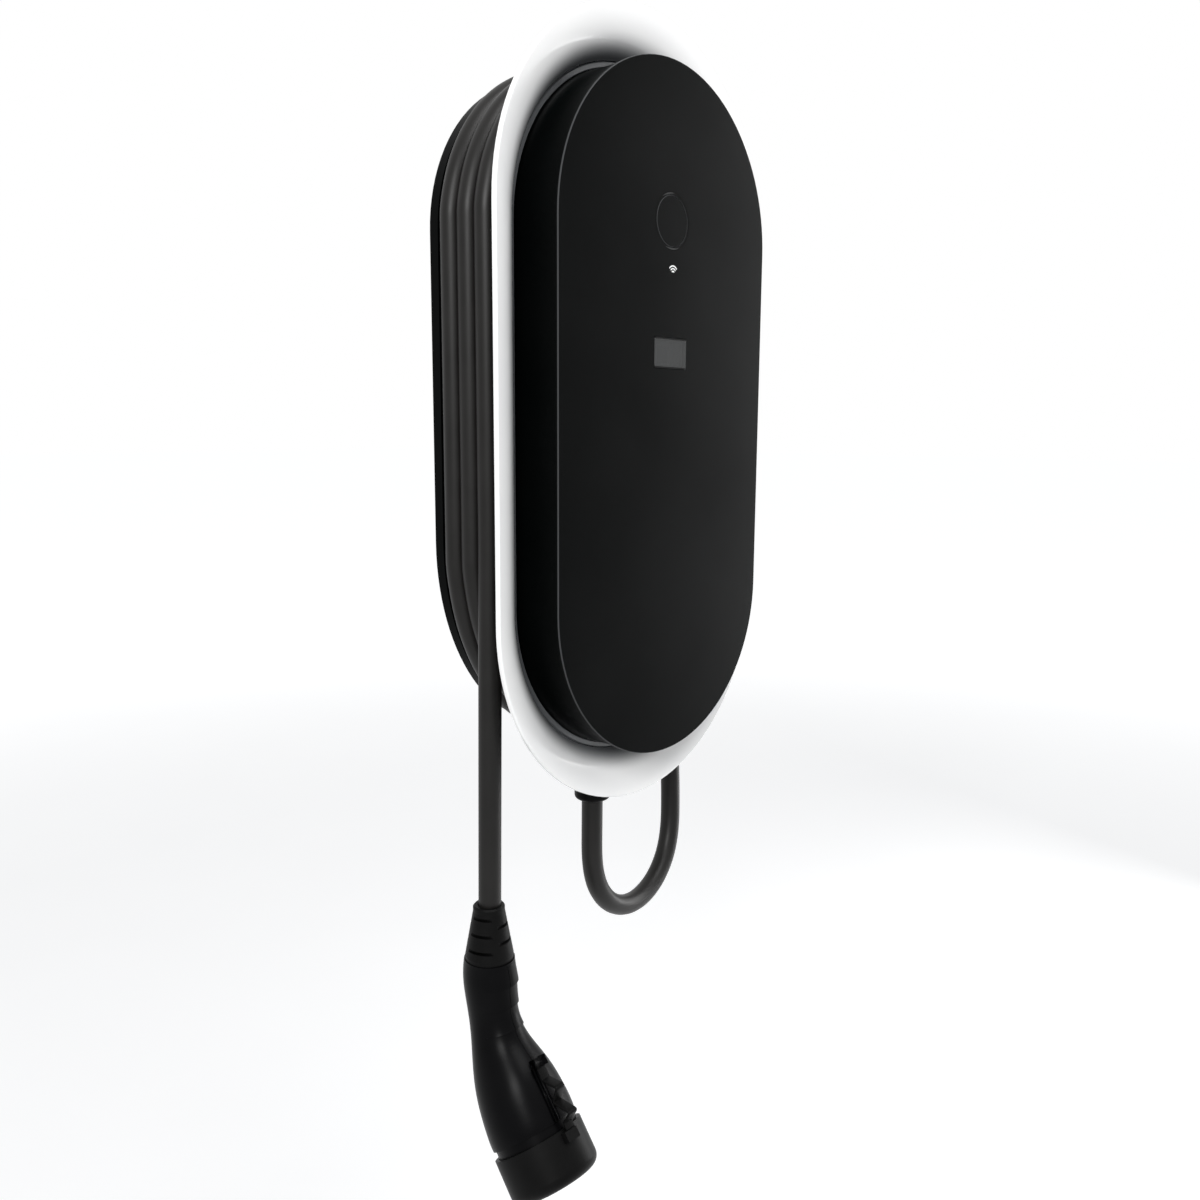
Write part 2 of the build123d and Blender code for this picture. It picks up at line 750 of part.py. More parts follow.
# Grip of the connector: sections from the bend protector to the head, in the plane of symmetry
grip_sections = (
    (lane_depths[2], boot_top - boot_length, 0.0, grip_start_half_width, grip_start_half_width + 0.5),
    (lane_depths[2] + 0.3, -398.0, 2.0, 18.6, 20.0),
    (lane_depths[2] + 2.2, -416.0, 9.0, 17.8, 18.6),
    (lane_depths[2] + 6.4, -434.5, 18.0, 18.4, 19.6),
    (lane_depths[2] + 14.2, -452.0, 28.0, 23.0, 25.0),
    (lane_depths[2] + 27.5, -472.5, 35.0, 29.5, 30.4),
    (lane_depths[2] + 37.5, -487.2, head_tilt, head_radius, head_radius),
)
grip_end = -6.0


def grip_plane(forward, height, tilt):
    turn = radians(tilt)
    return Plane(origin=(plug_x, -forward, height), x_dir=(1, 0, 0), z_dir=(0, -sin(turn), -cos(turn)))


with BuildPart() as grip_shell:
    for forward, height, tilt, half_width, half_depth in grip_sections:
        with BuildSketch(grip_plane(forward, height, tilt)):
            Ellipse(half_width, half_depth)
    with BuildSketch(rim.offset(grip_end)):
        Ellipse(head_radius, head_radius)
    loft()
    for forward, height, tilt, half_width, half_depth in grip_sections:
        with BuildSketch(grip_plane(forward, height, tilt)):
            Ellipse(half_width - grip_wall, half_depth - grip_wall)
    with BuildSketch(rim.offset(grip_end)):
        Ellipse(head_radius - grip_wall, head_radius - grip_wall)
    loft(mode=Mode.SUBTRACT)

    for along, off, half_length in grip_boss_places:
        with BuildSketch(strap_plane):
            with Locations((along, off)):
                Circle(grip_boss / 2)
        extrude(amount=half_length, both=True)
    with BuildSketch(strap_plane):
        for along, off, half_length in grip_boss_places:
            with Locations((along, off)):
                Circle(small_pilot / 2)
    extrude(amount=small_screw_length, both=True, mode=Mode.SUBTRACT)
    with BuildSketch(strap_plane.offset(-grip_screw_seat)):
        for along, off, half_length in grip_boss_places:
            with Locations((along, off)):
                Circle(small_head / 2 + screw_gap / 2)
    extrude(amount=-head_radius, mode=Mode.SUBTRACT)

seam = Plane.YZ.offset(plug_x)
with BuildPart() as handle_left:
    add(grip_shell.part)
    split(bisect_by=seam, keep=Keep.BOTTOM)
save(handle_left.part, "handle_left")

with BuildPart() as handle_right:
    add(grip_shell.part)
    split(bisect_by=seam, keep=Keep.TOP)
save(handle_right.part, "handle_right")

# Front end of the connector: neck, floor and the contact block in one moulding
spigot_radius = head_radius - grip_wall - 2 * slide_gap
with BuildPart() as plug_shell:
    with BuildSketch(rim.offset(grip_end)):
        Circle(neck_radius)
    extrude(amount=neck_length)
    with BuildSketch(rim.offset(grip_end)):
        Circle(spigot_radius)
    extrude(amount=-10)
    with BuildSketch(rim.offset(grip_end + plug_floor)):
        Circle(neck_radius - neck_wall)
        Circle(core_radius, mode=Mode.SUBTRACT)
    extrude(amount=neck_length, mode=Mode.SUBTRACT)
    with BuildSketch(rim.offset(grip_end + neck_length)):
        Circle(neck_radius - neck_wall)
    extrude(amount=-(neck_length - plug_floor - core_length), mode=Mode.SUBTRACT)
    with BuildSketch(rim.offset(grip_end + plug_floor)):
        with Locations((0, -core_radius)):
            Rectangle(2 * core_radius, 2 * core_flat)
    extrude(amount=neck_length, mode=Mode.SUBTRACT)
    with BuildSketch(rim.offset(grip_end + neck_length)):
        with Locations(*power_places):
            Circle(power_bore / 2)
        with Locations(*signal_places):
            Circle(signal_bore / 2)
    extrude(amount=-(neck_length - plug_floor), mode=Mode.SUBTRACT)
save(plug_shell.part, "plug_shell")

contact_root = rim.offset(grip_end + plug_floor)
with BuildPart() as power_contacts:
    with BuildSketch(contact_root):
        with Locations(*power_places):
            Circle(power_bore / 2 - seat_gap)
            Circle(power_bore / 2 - seat_gap - sleeve_wall, mode=Mode.SUBTRACT)
    extrude(amount=core_length - contact_recess)
save(power_contacts.part, "power_contacts")

with BuildPart() as signal_contacts:
    with BuildSketch(contact_root):
        with Locations(*signal_places):
            Circle(signal_bore / 2 - seat_gap)
            Circle(signal_bore / 2 - seat_gap - sleeve_wall * 0.6, mode=Mode.SUBTRACT)
    extrude(amount=core_length - contact_recess)
save(signal_contacts.part, "signal_contacts")

# Protective cap over the front end, and the folded strap that keeps it
with BuildPart() as plug_cap:
    with BuildSketch(rim):
        Circle(cap_radius)
    extrude(amount=cap_length)
    fillet(plug_cap.faces().sort_by(Axis(rim.origin, rim.z_dir))[-1].edges(), cap_round)
    with BuildSketch(rim):
        Circle(neck_radius + slide_gap)
    extrude(amount=cap_length - cap_wall, mode=Mode.SUBTRACT)
    with BuildSketch(strap_plane.offset(-strap_width / 2)):
        with Locations((lug_start, cap_radius - 1)):
            Rectangle(lug_length, lug_height + 1, align=(Align.MIN, Align.MIN))
    extrude(amount=strap_width)
save(plug_cap.part, "plug_cap")

with BuildPart() as cap_strap:
    with BuildSketch(strap_plane.offset(-strap_width / 2)):
        with BuildLine():
            FilletPolyline(*strap_points, radius=strap_thick * 0.55)
        trace(line_width=strap_thick)
    extrude(amount=strap_width)
save(cap_strap.part, "cap_strap")

# Clamp that holds the cable's sheath inside the grip
clamp_plane = boot_axis.offset(-boot_length - boot_spigot_length - 1.5)
with BuildPart() as cable_clamp:
    with BuildSketch(clamp_plane):
        Circle(boot_spigot - 1.2)
        Circle(cable_diameter / 2, mode=Mode.SUBTRACT)
    extrude(amount=-clamp_height)
save(cable_clamp.part, "cable_clamp")

# Grommet for the supply cable, in the floor of the housing
with BuildPart() as supply_grommet:
    with BuildSketch(at_depth(0)):
        with Locations((entry_x, entry_z)):
            Circle(entry_bore / 2 - slide_gap / 2)
    extrude(amount=floor_thick)
    with BuildSketch(at_depth(floor_thick)):
        with Locations((entry_x, entry_z)):
            Circle(entry_bore / 2 + 3)
    extrude(amount=grommet_lip)
    with BuildSketch(at_depth(0)):
        with Locations((entry_x, entry_z)):
            Circle(grommet_bore / 2)
    extrude(amount=floor_thick + grommet_lip, mode=Mode.SUBTRACT)
save(supply_grommet.part, "supply_grommet")

# Screws
with BuildPart() as cover_screws:
    for angle in cover_screw_angles:
        head_plane = cover_screw_plane(angle, cover_half_width - cover_lip - cover_screw_sink)
        with BuildSketch(head_plane):
            Circle(cover_screw_head / 2 - screw_gap)
        extrude(amount=cover_screw_sink - 0.4)
        with BuildSketch(head_plane):
            Circle(cover_screw_pilot / 2 - 0.1)
        extrude(amount=-cover_post_thick)
save(cover_screws.part, "cover_screws")


def small_screws(plane, places):
    """Pan-head screws driven against the plane's normal: heads on the plane, shanks below it."""
    with BuildSketch(plane) as heads:
        with Locations(*places):
            Circle(small_head / 2)
    extrude(heads.sketch, amount=small_head_height)
    with BuildSketch(plane) as shanks:
        with Locations(*places):
            Circle(small_screw / 2)
    extrude(shanks.sketch, amount=-small_screw_length)


def corners(width, height, middle):
    """The four hole places of a board of this size."""
    across = width / 2 - 7
    up = height / 2 - 7
    return [(x, middle + z) for x in (-across, across) for z in (-up, up)]


with BuildPart() as board_screws:
    small_screws(at_depth(power_depth + board_thick), corners(power_width, power_height, power_z))
    behind = Plane(origin=(0, -(control_depth - board_thick), 0), x_dir=(1, 0, 0), z_dir=(0, 1, 0))
    small_screws(behind, [(x, -z) for x, z in corners(control_width, control_height, button_z)])
    rail_reach = rail_length / 2 - 8
    small_screws(at_depth(rail_depth + rail_thick / 2), [(-rail_reach, window_z), (rail_reach, window_z)])
save(board_screws.part, "board_screws")

with BuildPart() as grip_screws:
    seats = [(along, off) for along, off, half_length in grip_boss_places]
    screw_plane = Plane(
        origin=strap_plane.origin + Vector(grip_screw_seat, 0, 0), x_dir=rim.z_dir, z_dir=(1, 0, 0)
    )
    small_screws(screw_plane, [(along, -off) for along, off in seats])
save(grip_screws.part, "grip_screws")
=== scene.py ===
from math import cos, pi, radians, sin

import bmesh
import bpy
from mathutils import Matrix, Vector
from mathutils.bvhtree import BVHTree


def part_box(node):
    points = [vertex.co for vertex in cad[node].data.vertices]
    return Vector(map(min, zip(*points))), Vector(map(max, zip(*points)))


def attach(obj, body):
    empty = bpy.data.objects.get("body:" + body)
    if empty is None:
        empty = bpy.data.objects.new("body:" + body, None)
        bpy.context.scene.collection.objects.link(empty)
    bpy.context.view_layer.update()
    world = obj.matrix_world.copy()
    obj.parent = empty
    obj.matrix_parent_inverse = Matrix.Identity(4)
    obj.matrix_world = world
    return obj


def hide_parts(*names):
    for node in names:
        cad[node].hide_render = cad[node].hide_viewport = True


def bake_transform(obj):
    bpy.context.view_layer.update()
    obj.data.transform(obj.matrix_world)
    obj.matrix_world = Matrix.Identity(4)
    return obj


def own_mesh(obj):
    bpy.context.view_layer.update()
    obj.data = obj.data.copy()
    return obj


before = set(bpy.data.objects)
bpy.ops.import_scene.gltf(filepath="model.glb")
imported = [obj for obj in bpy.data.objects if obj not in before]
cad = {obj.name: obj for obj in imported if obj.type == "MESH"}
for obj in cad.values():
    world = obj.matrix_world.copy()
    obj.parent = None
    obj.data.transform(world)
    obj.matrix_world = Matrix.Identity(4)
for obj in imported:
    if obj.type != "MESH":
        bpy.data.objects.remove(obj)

scene = bpy.context.scene
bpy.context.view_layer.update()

# Camera. A long way to the left of the charger and level with its middle, looking slightly down, as the
# photograph was taken: the round ends of the case give the place, the turn and the lens.
view_turn, view_drop, view_roll = radians(49.07), radians(9.11), radians(0.29)
looking = Vector((sin(view_turn) * cos(view_drop), cos(view_turn) * cos(view_drop), -sin(view_drop)))
level = looking.cross(Vector((0, 0, 1))).normalized()
upward = level.cross(looking)
across = level * cos(view_roll) + upward * sin(view_roll)
upward = upward * cos(view_roll) - level * sin(view_roll)
camera_data = bpy.data.cameras.new("front_left_view")
camera_data.lens = 32.553
camera_data.sensor_width = 36.0
camera_data.clip_start = 0.02
camera = bpy.data.objects.new("front_left_view", camera_data)
camera.matrix_world = Matrix.Translation((-0.6209, -0.5901, -0.0036)) @ Matrix(
    (across, upward, -looking)
).transposed().to_4x4()
scene.collection.objects.link(camera)
scene.camera = camera


# Charging cable: five copper cores in a matt black polyurethane sheath, 16.4 mm thick. It leaves the
# gland, hangs in a loop, goes two and a half times round the drum behind the collar and drops to the
# hand connector.
def linear(colour):
    """The linear values of an sRGB hex colour."""
    parts = [int(colour[i:i + 2], 16) / 255 for i in (0, 2, 4)]
    return [p / 12.92 if p <= 0.04045 else ((p + 0.055) / 1.055) ** 2.4 for p in parts] + [1.0]


def add_node(material, kind, values={}, links={}, **settings):
    """One shader node with its settings, the values of its inputs and what is linked to them."""
    node = material.node_tree.nodes.new(kind)
    for name, value in settings.items():
        setattr(node, name, value)
    for socket, value in values.items():
        node.inputs[socket].default_value = value
    for socket, output in links.items():
        material.node_tree.links.new(output, node.inputs[socket])
    return node


def start_material(name):
    """An empty node material."""
    material = bpy.data.materials.new(name)
    material.use_nodes = True
    material.node_tree.nodes.clear()
    return material


# Extruded polyurethane: matt, slightly brown black, with a fine orange-peel skin and faint handling marks.
sheath = start_material("extruded_polyurethane_matt_black")
place = add_node(sheath, "ShaderNodeTexCoord")
skin = add_node(sheath, "ShaderNodeTexNoise", {"Scale": 1 / 0.0012, "Detail": 3.0, "Roughness": 0.6},
                {"Vector": place.outputs["Object"]})
marks = add_node(sheath, "ShaderNodeTexNoise", {"Scale": 1 / 0.03, "Detail": 5.0, "Roughness": 0.65},
                 {"Vector": place.outputs["Object"]})
shade = add_node(sheath, "ShaderNodeValToRGB", links={"Fac": marks.outputs["Fac"]})
shade.color_ramp.elements[0].position, shade.color_ramp.elements[0].color = 0.35, linear("131211")
shade.color_ramp.elements[1].position, shade.color_ramp.elements[1].color = 0.70, linear("181716")
worn = add_node(sheath, "ShaderNodeMapRange", {"From Min": 0.3, "From Max": 0.7, "To Min": 0.38, "To Max": 0.46},
                {"Value": marks.outputs["Fac"]})
peel = add_node(sheath, "ShaderNodeBump", {"Strength": 0.25, "Distance": 0.0001}, {"Height": skin.outputs["Fac"]})
shader = add_node(sheath, "ShaderNodeBsdfPrincipled", {"IOR": 1.5, "Specular IOR Level": 0.2},
                  {"Base Color": shade.outputs["Color"], "Roughness": worn.outputs["Result"],
                   "Normal": peel.outputs["Normal"]})
add_node(sheath, "ShaderNodeOutputMaterial", links={"Surface": shader.outputs["BSDF"]})

cable_radius = 0.0082
lanes = (-0.0188, -0.0355, -0.0522)
side, wind_top, wind_low, wind_drop = 0.115, 0.126, -0.086, 0.1466
loop_route = [
    (-0.0150, -0.0580, -0.2500), (-0.0153, -0.0579, -0.3010), (-0.0150, -0.0575, -0.3520),
    (0.0062, -0.0560, -0.3835), (0.0414, -0.0525, -0.3977), (0.0786, -0.0480, -0.3898),
    (0.1050, -0.0430, -0.3625), (0.1130, -0.0370, -0.3130), (0.1170, -0.0300, -0.2580),
    (0.1185, -0.0225, -0.2020), (0.1170, -0.0192, -0.1440),
]
arc_steps = 12
step = pi / arc_steps
stretch = 1 / cos(step / 2)
straight_steps = 5


def side_run(x, start, end, depth_from, depth_to):
    """Points along one straight side of the winding, from one lane to the next where it shifts."""
    points = []
    for n in range(straight_steps + 1):
        share = n / straight_steps
        ease = share * share * (3 - 2 * share)
        points.append((x, depth_from + (depth_to - depth_from) * ease, start + (end - start) * share))
    return points


def round_end(middle, height, start_turn, way, depth):
    """Points round one end of the winding; each lies outside the arc so that the smooth line meets it."""
    points = []
    for n in range(arc_steps):
        turn = start_turn + way * (n + 0.5) * step
        points.append((side * stretch * cos(turn), depth, middle + height * stretch * sin(turn)))
    return points


winding = []
for lap, lane in enumerate(lanes):
    before = lanes[max(lap - 1, 0)]
    winding += side_run(side, wind_low, wind_top, before, lane)
    winding += round_end(wind_top, side, 0, 1, lane)
    winding += side_run(-side, wind_top, wind_low, lane, lane)
    if lap < len(lanes) - 1:
        winding += round_end(wind_low, wind_drop, pi, 1, lane)
drop_route = [(-0.1170, lanes[2], -0.2120), (-0.1185, lanes[2], -0.3060), (-0.1200, lanes[2], -0.4010)]

cable_curve = bpy.data.curves.new("charging_cable", "CURVE")
cable_curve.dimensions = "3D"
line = cable_curve.splines.new("NURBS")
route = loop_route + winding + drop_route
line.points.add(len(route) - 1)
for point, place_on_route in zip(line.points, route):
    point.co = (*place_on_route, 1.0)
line.order_u = 3
line.use_endpoint_u = True
line.resolution_u = 8
cable_curve.bevel_depth = cable_radius
cable_curve.bevel_resolution = 8
cable_curve.use_fill_caps = True
cable_curve.materials.append(sheath)
cable = bpy.data.objects.new("charging_cable", cable_curve)
scene.collection.objects.link(cable)
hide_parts("cable_loop", "cable_coil", "cable_drop")
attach(cable, "root")

# Case: rear housing, front cover and push button, moulded from black polycarbonate blend. The mould was
# finely spark-eroded, which gives a satin, even black, lighter at a low angle. A lighter grey along its front edge is
# painted highlight.
case_black = start_material("moulded_polycarbonate_satin_black")
place = add_node(case_black, "ShaderNodeTexCoord")
grain = add_node(case_black, "ShaderNodeTexNoise", {"Scale": 1 / 0.0008, "Detail": 2.0, "Roughness": 0.5},
                 {"Vector": place.outputs["Object"]})
cloud = add_node(case_black, "ShaderNodeTexNoise", {"Scale": 1 / 0.09, "Detail": 4.0, "Roughness": 0.5},
                 {"Vector": place.outputs["Object"]})
shade = add_node(case_black, "ShaderNodeValToRGB", links={"Fac": cloud.outputs["Fac"]})
shade.color_ramp.elements[0].position, shade.color_ramp.elements[0].color = 0.3, linear("020303")
shade.color_ramp.elements[1].position, shade.color_ramp.elements[1].color = 0.7, linear("040505")
cover_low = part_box("front_cover")[0]
geometry = add_node(case_black, "ShaderNodeNewGeometry")
facing = add_node(case_black, "ShaderNodeSeparateXYZ", links={"Vector": geometry.outputs["Normal"]})
spot = add_node(case_black, "ShaderNodeSeparateXYZ", links={"Vector": place.outputs["Object"]})
# Painted highlight: where the normal turns away from the front and lies within 1.2 mm of the front face, the rounded
# front edge is given a lighter grey.
turned = add_node(case_black, "ShaderNodeMath", links={0: facing.outputs["Y"]}, operation="ABSOLUTE")
eased = add_node(case_black, "ShaderNodeMapRange", {"From Min": 0.97, "From Max": 0.85},
                 {"Value": turned.outputs["Value"]}, clamp=True)
front = add_node(case_black, "ShaderNodeMapRange", {"From Min": cover_low.y + 0.0012, "From Max": cover_low.y + 0.0009},
                 {"Value": spot.outputs["Y"]}, clamp=True)
edge = add_node(case_black, "ShaderNodeMath", links={0: eased.outputs["Result"], 1: front.outputs["Result"]},
                operation="MULTIPLY")
painted_edge_highlight = add_node(case_black, "ShaderNodeMixRGB", {"Color2": linear("404142")},
                  {"Fac": edge.outputs["Value"], "Color1": shade.outputs["Color"]})
satin = add_node(case_black, "ShaderNodeMapRange", {"From Min": 0.3, "From Max": 0.7, "To Min": 0.28, "To Max": 0.33},
                 {"Value": cloud.outputs["Fac"]})
erosion = add_node(case_black, "ShaderNodeBump", {"Strength": 0.08, "Distance": 0.00005},
                   {"Height": grain.outputs["Fac"]})
shader = add_node(case_black, "ShaderNodeBsdfPrincipled", {"IOR": 1.5, "Specular IOR Level": 0.026},
                  {"Base Color": painted_edge_highlight.outputs["Color"], "Roughness": satin.outputs["Result"],
                   "Normal": erosion.outputs["Normal"]})
add_node(case_black, "ShaderNodeOutputMaterial", links={"Surface": shader.outputs["BSDF"]})


def finish_nodes(material, *names):
    """Gives these CAD nodes the material."""
    for name in names:
        cad[name].data.materials.clear()
        cad[name].data.materials.append(material)


finish_nodes(case_black, "rear_housing", "front_cover", "button_cap")

# Collar: white acrylic moulded in one piece, polished on its flared front so that it carries the light of
# the ring behind it. Its root is painted a darker grey, as painted shade where the black cover shades it.
collar_white = start_material("moulded_acrylic_gloss_white")
place = add_node(collar_white, "ShaderNodeTexCoord")
cloud = add_node(collar_white, "ShaderNodeTexNoise", {"Scale": 1 / 0.12, "Detail": 3.0},
                 {"Vector": place.outputs["Object"]})
shade = add_node(collar_white, "ShaderNodeValToRGB", links={"Fac": cloud.outputs["Fac"]})
shade.color_ramp.elements[0].position, shade.color_ramp.elements[0].color = 0.3, linear("eeeeee")
shade.color_ramp.elements[1].position, shade.color_ramp.elements[1].color = 0.7, linear("f3f3f2")
# Painted shade: within 16.5 mm of the cover's rounded outline, the base colour runs from white to grey towards the
# root.
spot = add_node(collar_white, "ShaderNodeSeparateXYZ", links={"Vector": place.outputs["Object"]})
straight = add_node(collar_white, "ShaderNodeClamp", {"Min": -0.126, "Max": 0.126}, {"Value": spot.outputs["Z"]})
beyond = add_node(collar_white, "ShaderNodeMath", links={0: spot.outputs["Z"], 1: straight.outputs["Result"]},
                  operation="SUBTRACT")
outward = add_node(collar_white, "ShaderNodeCombineXYZ", links={"X": spot.outputs["X"], "Y": beyond.outputs["Value"]})
radius = add_node(collar_white, "ShaderNodeVectorMath", links={0: outward.outputs["Vector"]}, operation="LENGTH")
painted_root_shade = add_node(collar_white, "ShaderNodeMapRange", {"From Min": 0.1185, "From Max": 0.1350},
                      {"Value": radius.outputs["Value"]}, clamp=True, interpolation_type="SMOOTHSTEP")
# Mixes the painted root shade into the white.
thick = add_node(collar_white, "ShaderNodeMixRGB", {"Color1": linear("6c6e70")},
                 {"Fac": painted_root_shade.outputs["Result"], "Color2": shade.outputs["Color"]})
polish = add_node(collar_white, "ShaderNodeMapRange",
                  {"From Min": 0.3, "From Max": 0.7, "To Min": 0.10, "To Max": 0.15},
                  {"Value": cloud.outputs["Fac"]})
shader = add_node(collar_white, "ShaderNodeBsdfPrincipled", {"IOR": 1.49},
                  {"Base Color": thick.outputs["Color"], "Roughness": polish.outputs["Result"]})
add_node(collar_white, "ShaderNodeOutputMaterial", links={"Surface": shader.outputs["BSDF"]})
finish_nodes(collar_white, "collar_ring")

# Light ring: a clear acrylic guide with a ground face, so it shows an even grey while it is off. Behind it
# in the groove round the cover is a white board with lamps about 20 mm apart, which the guide hides.
opal = start_material("ground_acrylic_opal")
place = add_node(opal, "ShaderNodeTexCoord")
ground = add_node(opal, "ShaderNodeTexNoise", {"Scale": 1 / 0.002, "Detail": 2.0}, {"Vector": place.outputs["Object"]})
shade = add_node(opal, "ShaderNodeValToRGB", links={"Fac": ground.outputs["Fac"]})
shade.color_ramp.elements[0].color, shade.color_ramp.elements[1].color = linear("56585a"), linear("646668")
shader = add_node(opal, "ShaderNodeBsdfPrincipled", {"Roughness": 0.2, "IOR": 1.49},
                  {"Base Color": shade.outputs["Color"]})
add_node(opal, "ShaderNodeOutputMaterial", links={"Surface": shader.outputs["BSDF"]})
finish_nodes(opal, "light_guide")

mask_white = start_material("solder_mask_white")
place = add_node(mask_white, "ShaderNodeTexCoord")
weave = add_node(mask_white, "ShaderNodeTexVoronoi", {"Scale": 1 / 0.02}, {"Vector": place.outputs["Object"]})
shade = add_node(mask_white, "ShaderNodeValToRGB", links={"Fac": weave.outputs["Distance"]})
shade.color_ramp.elements[0].position, shade.color_ramp.elements[0].color = 0.08, linear("f2d98a")
shade.color_ramp.elements[1].position, shade.color_ramp.elements[1].color = 0.12, linear("e6e8e6")
shader = add_node(mask_white, "ShaderNodeBsdfPrincipled", {"Roughness": 0.35, "IOR": 1.5},
                  {"Base Color": shade.outputs["Color"]})
add_node(mask_white, "ShaderNodeOutputMaterial", links={"Surface": shader.outputs["BSDF"]})
finish_nodes(mask_white, "light_board")

# Display window: smoked polycarbonate, polished on both faces, with a black printed border 1 mm wide at
# its top and bottom. The energy meter behind it shows through.
window_low, window_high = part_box("display_window")
smoked = start_material("polished_polycarbonate_smoked")
place = add_node(smoked, "ShaderNodeTexCoord")
split = add_node(smoked, "ShaderNodeSeparateXYZ", links={"Vector": place.outputs["Object"]})
from_middle = add_node(smoked, "ShaderNodeMath", {1: (window_low.z + window_high.z) / 2}, {0: split.outputs["Z"]},
                       operation="SUBTRACT")
height = add_node(smoked, "ShaderNodeMath", links={0: from_middle.outputs["Value"]}, operation="ABSOLUTE")
border = add_node(smoked, "ShaderNodeMath", {1: 0.0094}, {0: height.outputs["Value"]}, operation="GREATER_THAN")
tint = add_node(smoked, "ShaderNodeValToRGB", links={"Fac": border.outputs["Value"]})
tint.color_ramp.elements[0].color, tint.color_ramp.elements[1].color = linear("474848"), linear("0a0b0b")
cover_up = add_node(smoked, "ShaderNodeMapRange", {"To Min": 0.72, "To Max": 1.0}, {"Value": border.outputs["Value"]})
shader = add_node(smoked, "ShaderNodeBsdfPrincipled", {"Roughness": 0.12, "IOR": 1.58, "Specular IOR Level": 0.1},
                  {"Base Color": tint.outputs["Color"], "Alpha": cover_up.outputs["Result"]})
add_node(smoked, "ShaderNodeOutputMaterial", links={"Surface": shader.outputs["BSDF"]})
finish_nodes(smoked, "display_window")

# Energy meter and terminal block: pale grey and dark modules of moulded polyamide, clipped to a
# zinc-plated rail or screwed to the power board, with a fine matt mould grain.
for name, dark, light, nodes in (
    ("moulded_polyamide_pale_grey", "a9abab", "b3b5b4", ("energy_meter", "supply_terminals")),
    ("moulded_polyamide_dark_grey", "2d2e30", "36373a", ("contactor", "residual_current_sensor", "button_switch")),
):
    module = start_material(name)
    place = add_node(module, "ShaderNodeTexCoord")
    grain = add_node(module, "ShaderNodeTexNoise", {"Scale": 1 / 0.0012, "Detail": 3.0},
                     {"Vector": place.outputs["Object"]})
    shade = add_node(module, "ShaderNodeValToRGB", links={"Fac": grain.outputs["Fac"]})
    shade.color_ramp.elements[0].position, shade.color_ramp.elements[0].color = 0.3, linear(dark)
    shade.color_ramp.elements[1].position, shade.color_ramp.elements[1].color = 0.7, linear(light)
    relief = add_node(module, "ShaderNodeBump", {"Strength": 0.15, "Distance": 0.0001},
                      {"Height": grain.outputs["Fac"]})
    shader = add_node(module, "ShaderNodeBsdfPrincipled", {"Roughness": 0.55, "IOR": 1.53},
                      {"Base Color": shade.outputs["Color"], "Normal": relief.outputs["Normal"]})
    add_node(module, "ShaderNodeOutputMaterial", links={"Surface": shader.outputs["BSDF"]})
    finish_nodes(module, *nodes)

# Meter display: a liquid crystal cell 12.6 x 12.4 mm in the recess of the meter's nose, unlit, so it is
# a dark green-grey behind clear glass, beside a pale bezel.
meter_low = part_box("energy_meter")[0]
display_bezel = (-0.0128, 0.0128, 0.0063)
cell_span = (0.0002, 0.0126, 0.0061)


def rounded_plate(mesh, middle_z, left, right, half_height, front, back, corner, slot):
    """Adds an upright plate with rounded corners and a front edge that is eased by a quarter of its depth."""
    ease = (back - front) / 4
    rings = []
    for y, inset in ((back, 0.0), (front + ease, 0.0), (front, ease)):
        ring = []
        for side_x, side_z, turn in ((right, 1, 0), (left, 1, 1), (left, -1, 2), (right, -1, 3)):
            reach = corner if side_x == right else -corner
            for n in range(5):
                angle = (turn + n / 4) * pi / 2
                ring.append(mesh.verts.new((
                    side_x - reach + (corner - inset) * cos(angle), y,
                    middle_z + side_z * (half_height - corner) + (corner - inset) * sin(angle))))
        rings.append(ring)
    for inner, outer in zip(rings, rings[1:]):
        for n, vert in enumerate(inner):
            face = mesh.faces.new((vert, inner[n - 1], outer[n - 1], outer[n]))
            face.material_index = slot
    for ring in (rings[0], rings[-1]):
        mesh.faces.new(ring).material_index = slot


def finish_mesh(mesh, name, slot, body, *materials):
    """Turns built faces into a piece that rides on a body."""
    bmesh.ops.recalc_face_normals(mesh, faces=mesh.faces)
    data = bpy.data.meshes.new(name)
    mesh.to_mesh(data)
    mesh.free()
    for material in materials:
        data.materials.append(material)
    piece = bpy.data.objects.new(name, data)
    scene.collection.objects.link(piece)
    if body:
        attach(piece, body)
    return piece


bezel_grey = bpy.data.materials["moulded_polyamide_pale_grey"]
cell_dark = start_material("liquid_crystal_cell_unlit")
place = add_node(cell_dark, "ShaderNodeTexCoord")
segments = add_node(cell_dark, "ShaderNodeTexNoise", {"Scale": 1 / 0.004, "Detail": 1.0},
                    {"Vector": place.outputs["Object"]})
shade = add_node(cell_dark, "ShaderNodeValToRGB", links={"Fac": segments.outputs["Fac"]})
shade.color_ramp.elements[0].color, shade.color_ramp.elements[1].color = linear("2f3430"), linear("383d38")
shader = add_node(cell_dark, "ShaderNodeBsdfPrincipled", {"Roughness": 0.08, "IOR": 1.52},
                  {"Base Color": shade.outputs["Color"]})
add_node(cell_dark, "ShaderNodeOutputMaterial", links={"Surface": shader.outputs["BSDF"]})
window_middle = (window_low.z + window_high.z) / 2
face = meter_low.y
build = bmesh.new()
rounded_plate(build, window_middle, display_bezel[0], display_bezel[1], display_bezel[2],
              face + 0.0002, face + 0.0007, 0.0008, 0)
rounded_plate(build, window_middle, cell_span[0], cell_span[1], cell_span[2],
              face - 0.0001, face + 0.0003, 0.0004, 1)
finish_mesh(build, "meter_display", "module", "root", bezel_grey, cell_dark)

